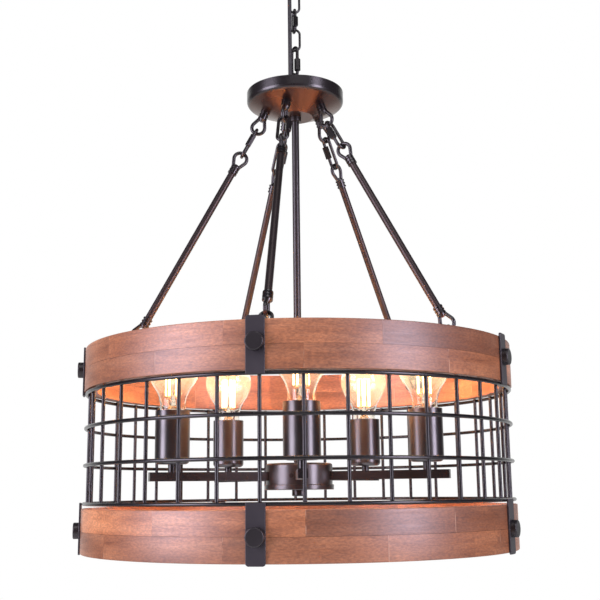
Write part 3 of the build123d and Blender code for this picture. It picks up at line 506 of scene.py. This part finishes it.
def ease_edges(bm, eased_height):
    """Rounds the long edges at one height."""
    arrises = [
        edge
        for edge in bm.edges
        if all(abs(vert.co.z - eased_height) < SAME_PLACE for vert in edge.verts)
        and abs(hypot(*edge.verts[0].co.xy) - hypot(*edge.verts[1].co.xy)) < SAME_PLACE
    ]
    bmesh.ops.bevel(
        bm,
        geom=arrises,
        offset=EASED,
        affect="EDGES",
        segments=EASED_STEPS,
        profile=0.5,
        material=-1,
        clamp_overlap=True,
    )


def wooden_course(node, first_joint, eased_edge, plank_tones_and_painted_light):
    """A ring of segments that stands for one course; its upper or lower edges are eased."""
    low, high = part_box(node)
    filler_angle = FILLER_LINE / RING_OUTSIDE
    bm = plain_segment(low.z, high.z, filler_angle)
    ease_edges(bm, high.z if eased_edge == "upper" else low.z)
    tones = bm.faces.layers.float.new("plank")
    fillers = bm.faces.layers.float.new("filler")
    for face in bm.faces:
        middle = face.calc_center_median()
        face[fillers] = 1.0 if atan2(middle.y, middle.x) < filler_angle else 0.0
    start = radians(first_joint + FRONT)
    bmesh.ops.rotate(bm, verts=bm.verts, matrix=Matrix.Rotation(start, 3, "Z"))
    segment = list(bm.faces)
    for index in range(SEGMENTS):
        faces = segment
        if index:
            copy = bmesh.ops.duplicate(bm, geom=segment)["geom"]
            faces = [part for part in copy if isinstance(part, bmesh.types.BMFace)]
            verts = {vert for face in faces for vert in face.verts}
            turn = Matrix.Rotation(2 * pi * index / SEGMENTS, 3, "Z")
            bmesh.ops.rotate(bm, verts=list(verts), matrix=turn)
        # each segment's shade, partly its own tone and partly painted highlight and shade
        for face in faces:
            face[tones] = plank_tones_and_painted_light[index]
    piece = new_piece(f"{node}_wood", bm, wood, "chandelier")
    piece.data.set_sharp_from_angle(angle=SHARP_FROM)
    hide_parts(node)


for node, course in RING_COURSES.items():
    wooden_course(node, *course)

# Bulbs: screw cap, glass mount and lit filament strands in the clear glass; profiles in millimetres
LAMPS = 5
LAMP_CIRCLE = 0.152
CAP_PROFILE = (
    (0.0, -26.5), (4.0, -26.5), (4.5, -26.0), (4.5, -24.0), (11.6, -24.0), (12.4, -23.0), (13.2, -21.6),
    (12.4, -20.0), (12.5, -18.4), (13.2, -16.8), (12.4, -15.2), (12.5, -13.6), (13.2, -12.0), (12.4, -10.4),
    (12.5, -8.8), (13.2, -7.2), (12.4, -5.6), (12.6, -3.6), (13.2, -2.4), (13.2, -1.5), (14.3, -1.5),
    (14.5, -1.3), (14.5, -0.2), (14.3, 0.0), (0.0, 0.0),
)
CAP_STEPS = 48
MOUNT_PROFILE = (
    (0.0, 0.05), (8.0, 0.05), (6.5, 2.0), (4.2, 6.0), (3.0, 12.0), (2.2, 17.0), (1.4, 18.0), (0.0, 18.2),
)
MOUNT_STEPS = 32
STRANDS = 6
STRAND_TURN = 0.3  # radians from one bulb to the next
STRAND_CIRCLE = 0.008
STRAND_FOOT = 0.0175
STRAND_TOP = 0.054
STRAND_RADIUS = 0.001
POST_FOOT = 0.018
POST_RADIUS = 0.0006
SPOKE_RADIUS = 0.0003
SPOKE_SIDES = 6
LIGHT_HEIGHT = 0.045
LIGHT_POWER = 1.3
LIGHT_COLOUR = (1.0, 0.39, 0.12)
LIGHT_RADIUS = 0.02


def turned(profile, centre, steps):
    """Turns a profile of radii and heights in millimetres about an upright axis."""
    bm = bmesh.new()
    verts = [bm.verts.new(centre + Vector((radius, 0, height)) / 1000) for radius, height in profile]
    edges = [bm.edges.new(pair) for pair in zip(verts, verts[1:])]
    bmesh.ops.spin(
        bm, geom=verts + edges, axis=(0, 0, 1), cent=centre, angle=2 * pi, steps=steps, use_merge=True
    )
    bmesh.ops.remove_doubles(bm, verts=bm.verts, dist=SAME_PLACE)
    bmesh.ops.recalc_face_normals(bm, faces=bm.faces)
    return bm


def rod_between(bm, first, second, radius, sides=8):
    """A round rod between two points."""
    line = second - first
    turn = line.to_track_quat("Z", "Y").to_matrix().to_4x4()
    place = Matrix.Translation((first + second) / 2) @ turn
    bmesh.ops.create_cone(
        bm, cap_ends=True, segments=sides, radius1=radius, radius2=radius, depth=line.length, matrix=place
    )


def above(seat, height):
    return seat + Vector((0, 0, height))


def strand_directions(first_turn):
    """From the bulb's axis towards each strand."""
    turns = [2 * pi * strand / STRANDS + first_turn for strand in range(STRANDS)]
    return [Vector((cos(turn), sin(turn), 0)) * STRAND_CIRCLE for turn in turns]


def filament_strands(seat, directions):
    bm = bmesh.new()
    for out in directions:
        rod_between(bm, above(seat + out, STRAND_FOOT), above(seat + out, STRAND_TOP), STRAND_RADIUS)
    return bm


def strand_wires(seat, directions):
    """A post on the mount, with thin spokes to the strands' ends."""
    bm = bmesh.new()
    rod_between(bm, above(seat, POST_FOOT), above(seat, STRAND_TOP), POST_RADIUS)
    for out in directions:
        for height in (STRAND_FOOT, STRAND_TOP):
            middle = above(seat, height)
            rod_between(bm, middle, middle + out, SPOKE_RADIUS, SPOKE_SIDES)
    return bm


def light_in_bulb(name, place, body):
    lamp = bpy.data.lights.new(name, "POINT")
    lamp.energy = LIGHT_POWER
    lamp.color = LIGHT_COLOUR
    lamp.shadow_soft_size = LIGHT_RADIUS
    lit = bpy.data.objects.new(name, lamp)
    lit.location = place
    lit.visible_transmission = False
    scene.collection.objects.link(lit)
    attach(lit, body)


for index in range(LAMPS):
    number = index + 1
    body = f"bulb_{number}"
    angle = 2 * pi * index / LAMPS + radians(FRONT)
    seat = Vector((LAMP_CIRCLE * cos(angle), LAMP_CIRCLE * sin(angle), CAP_TOP))
    directions = strand_directions(STRAND_TURN * index)
    cap = new_piece(f"bulb_cap_{number}", turned(CAP_PROFILE, seat, CAP_STEPS), lamp_cap, body)
    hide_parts(f"bulb_base_{number}")
    mount = turned(MOUNT_PROFILE, seat, MOUNT_STEPS)
    new_piece(f"bulb_mount_{number}", mount, glass, body)
    lit_strands = filament_strands(seat, directions)
    strands = new_piece(f"bulb_strands_{number}", lit_strands, filament_glow, body)
    strands.visible_glossy = False
    strands.visible_diffuse = False
    new_piece(f"bulb_wires_{number}", strand_wires(seat, directions), zinc_steel, body)
    light_in_bulb(f"lit_bulb_{number}", above(seat, LIGHT_HEIGHT), body)
    frame["nodes"][f"bulb_glass_{number}"].visible_shadow = False

# Stage: a pale floor below the lamp and plain studio light
FLOOR_RADIUS = 4.5
FLOOR_SIDES = 96
FLOOR_Z = -2.4
FLOOR_ROUGHNESS = 0.9
FLOOR_PALENESS = 0.42


def pale_floor():
    bm = bmesh.new()
    bmesh.ops.create_circle(bm, cap_ends=True, segments=FLOOR_SIDES, radius=FLOOR_RADIUS)
    bmesh.ops.translate(bm, verts=bm.verts, vec=(0, 0, FLOOR_Z))
    material, tree, shader = finish("pale_floor")
    mottled(tree, shader.inputs["Base Color"], object_place(tree), 3.0, grey(0.9), grey(0.94))
    shader.inputs["Roughness"].default_value = FLOOR_ROUGHNESS
    paths = tree.nodes.new("ShaderNodeLightPath").outputs
    seen = math(tree, "MAXIMUM", paths["Is Camera Ray"], paths["Is Transmission Ray"])
    shader.inputs["Emission Color"].default_value = WHITE
    tree.links.new(math(tree, "MULTIPLY", seen, FLOOR_PALENESS), shader.inputs["Emission Strength"])
    mesh = bpy.data.meshes.new("floor")
    bm.to_mesh(mesh)
    bm.free()
    mesh.materials.append(material)
    floor = bpy.data.objects.new("floor", mesh)
    scene.collection.objects.link(floor)


pale_floor()

SOFT_LIGHT = 0.5
BACKDROP_STOPS = ((0.78, grey(0.05)), (0.94, grey(1.0)))


def white_world():
    """White where it is seen; in shiny paint only the backdrop behind the lamp is white."""
    world = bpy.data.worlds.new("white_studio")
    scene.world = world
    world.use_nodes = True
    tree = world.node_tree
    paths = tree.nodes.new("ShaderNodeLightPath").outputs
    direction = tree.nodes.new("ShaderNodeTexCoord").outputs["Generated"]
    backward = add_node(tree, "ShaderNodeSeparateXYZ", {0: direction}).outputs[1]
    backdrop = ramp(tree, math(tree, "MULTIPLY_ADD", backward, 0.5, 0.5), *BACKDROP_STOPS)
    seen = math(tree, "MAXIMUM", paths["Is Camera Ray"], paths["Is Transmission Ray"])
    seen = math(tree, "MAXIMUM", seen, math(tree, "MULTIPLY", paths["Is Glossy Ray"], backdrop))
    strength = math(tree, "MAXIMUM", seen, math(tree, "MULTIPLY", paths["Is Diffuse Ray"], SOFT_LIGHT))
    background = tree.nodes["Background"]
    background.inputs["Color"].default_value = WHITE
    tree.links.new(strength, background.inputs["Strength"])


white_world()

SOFTBOX_AIM = Vector((0, 0, -0.6))  # between the lamps


def softbox(name, place, size, power, colour):
    """A rectangular light that faces the lamps."""
    data = bpy.data.lights.new(name, "AREA")
    data.shape = "RECTANGLE"
    data.size, data.size_y = size
    data.energy = power
    data.color = colour
    light = bpy.data.objects.new(name, data)
    light.location = place
    light.rotation_euler = (SOFTBOX_AIM - Vector(place)).to_track_quat("-Z", "Y").to_euler()
    scene.collection.objects.link(light)


softbox("softbox_left", (-1.8, -1.0, -0.35), (1.15, 1.7), 38, (0.91, 0.81, 1.0))
softbox("softbox_right", (1.6, -1.35, -0.3), (0.65, 1.7), 31, (0.9, 0.8, 1.0))
softbox("softbox_top", (0.1, -1.3, 1.1), (1.2, 1.0), 8, (1.0, 0.95, 1.0))
